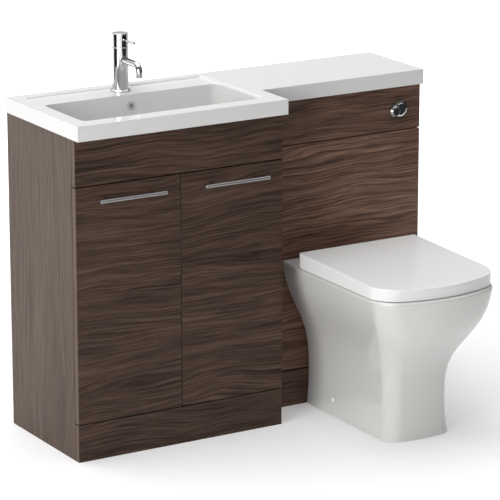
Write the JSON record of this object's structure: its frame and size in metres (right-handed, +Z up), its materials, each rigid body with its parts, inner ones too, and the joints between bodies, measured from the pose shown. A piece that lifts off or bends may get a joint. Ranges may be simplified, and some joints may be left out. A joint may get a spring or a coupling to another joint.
{
  "type": "toilet and basin combination unit",
  "caption": "Bathroom furniture unit with a moulded basin worktop over a two-door cupboard and a concealed-cistern unit, a back-to-wall toilet pan, seat, lid, mixer tap and push-button flush.",
  "frame": {"origin": "middle of the outline box at floor level", "axes": "+X to the right seen from the front, -Y to the front with the wall at the +Y end, +Z up"},
  "size_m": [1.1, 0.77, 1.0153],
  "materials": {
    "worktop": "gloss white gel coat over cast resin",
    "china": "gloss white glaze",
    "seat": "gloss white moulded",
    "chrome": "polished",
    "steel": "brushed",
    "brass": "machined",
    "fronts": "dark walnut-effect foil, grain across",
    "carcass": "walnut-effect board, grain upright",
    "fittings": "moulded white",
    "cistern": "moulded grey",
    "rubber": "moulded"
  },
  "bodies": {
    "unit": {"worktop_basin": "worktop", "overflow_ring": "chrome", "basin_waste": "chrome", "waste_nut": "fittings", "bottle_trap": "fittings", "trap_cup": "fittings", "tap_body": "chrome", "tap_cartridge": "brass", "tap_aerator": "steel", "tap_clamp": "brass", "tap_tails": "brass", "vanity_side_left": "carcass", "vanity_side_right": "carcass", "vanity_base_panel": "carcass", "vanity_stretcher": "carcass", "vanity_wall_rails": "carcass", "vanity_fascia": "fronts", "vanity_plinth": "fronts", "vanity_shelf": "carcass", "shelf_pins": "steel", "hinge_arms_left": "steel", "hinge_arms_right": "steel", "door_buffers": "fittings", "wc_side_left": "carcass", "wc_side_right": "carcass", "wc_rails": "carcass", "wc_stretchers": "carcass", "wc_fascia": "fronts", "wc_front_panel": "fronts", "wc_plinth": "fronts", "cistern_tank": "cistern", "cistern_lid": "cistern", "fill_valve": "fittings", "flush_valve": "fittings", "flush_pipe": "fittings", "flush_cone": "rubber", "flush_bezel": "chrome", "flush_backnut": "fittings", "toilet_pan": "china", "soil_connector": "fittings", "pan_fixings": "steel", "pan_screw_caps": "fittings", "seat_hinge_posts": "steel", "seat_hinge_pins": "steel", "seat_buffers": "fittings"},
    "door_left": {"door_left": "fronts", "handle_left": "steel", "handle_screws_left": "steel", "hinge_cups_left": "steel"},
    "door_right": {"door_right": "fronts", "handle_right": "steel", "handle_screws_right": "steel", "hinge_cups_right": "steel"},
    "seat": {"seat_ring": "seat"},
    "lid": {"toilet_lid": "seat"},
    "tap_cap": {"tap_cap": "chrome"},
    "tap_lever": {"tap_lever": "chrome"},
    "full_flush": {"full_flush_button": "chrome"},
    "half_flush": {"half_flush_button": "chrome"},
    "plug": {"waste_plug": "chrome"}
  },
  "joints": [
    {"name": "door_left_hinge", "type": "hinge", "parent": "unit", "child": "door_left", "pos_m": [-0.547, 0.0365, 0.4], "axis": [0, 0, -1], "range_deg": [0, 105]},
    {"name": "door_right_hinge", "type": "hinge", "parent": "unit", "child": "door_right", "pos_m": [0.048, 0.0365, 0.4], "axis": [0, 0, 1], "range_deg": [0, 90]},
    {"name": "seat_hinge", "type": "hinge", "parent": "unit", "child": "seat", "pos_m": [0.298, 0.035, 0.422], "axis": [-1, 0, 0], "range_deg": [0, 92]},
    {"name": "lid_hinge", "type": "hinge", "parent": "seat", "child": "lid", "pos_m": [0.298, 0.035, 0.422], "axis": [1, 0, 0], "range_deg": [-95, 0]},
    {"name": "tap_temperature", "type": "hinge", "parent": "unit", "child": "tap_cap", "pos_m": [-0.2495, 0.329, 0.98], "axis": [0, 0, 1], "range_deg": [-45, 45]},
    {"name": "tap_flow", "type": "hinge", "parent": "tap_cap", "child": "tap_lever", "pos_m": [-0.2495, 0.329, 1.00018], "axis": [-1, 0, 0], "range_deg": [0, 16]},
    {"name": "full_flush_press", "type": "slide", "parent": "unit", "child": "full_flush", "axis": [0, 1, 0], "range_m": [0, 0.005], "stiffness_N_per_m": 600, "springref_m": -0.002},
    {"name": "half_flush_press", "type": "slide", "parent": "unit", "child": "half_flush", "axis": [0, 1, 0], "range_m": [0, 0.005], "stiffness_N_per_m": 600, "springref_m": -0.002},
    {"name": "plug_press", "type": "slide", "parent": "unit", "child": "plug", "axis": [0, 0, 1], "range_m": [-0.008, 0], "stiffness_N_per_m": 900, "springref_m": 0.006}
  ]
}
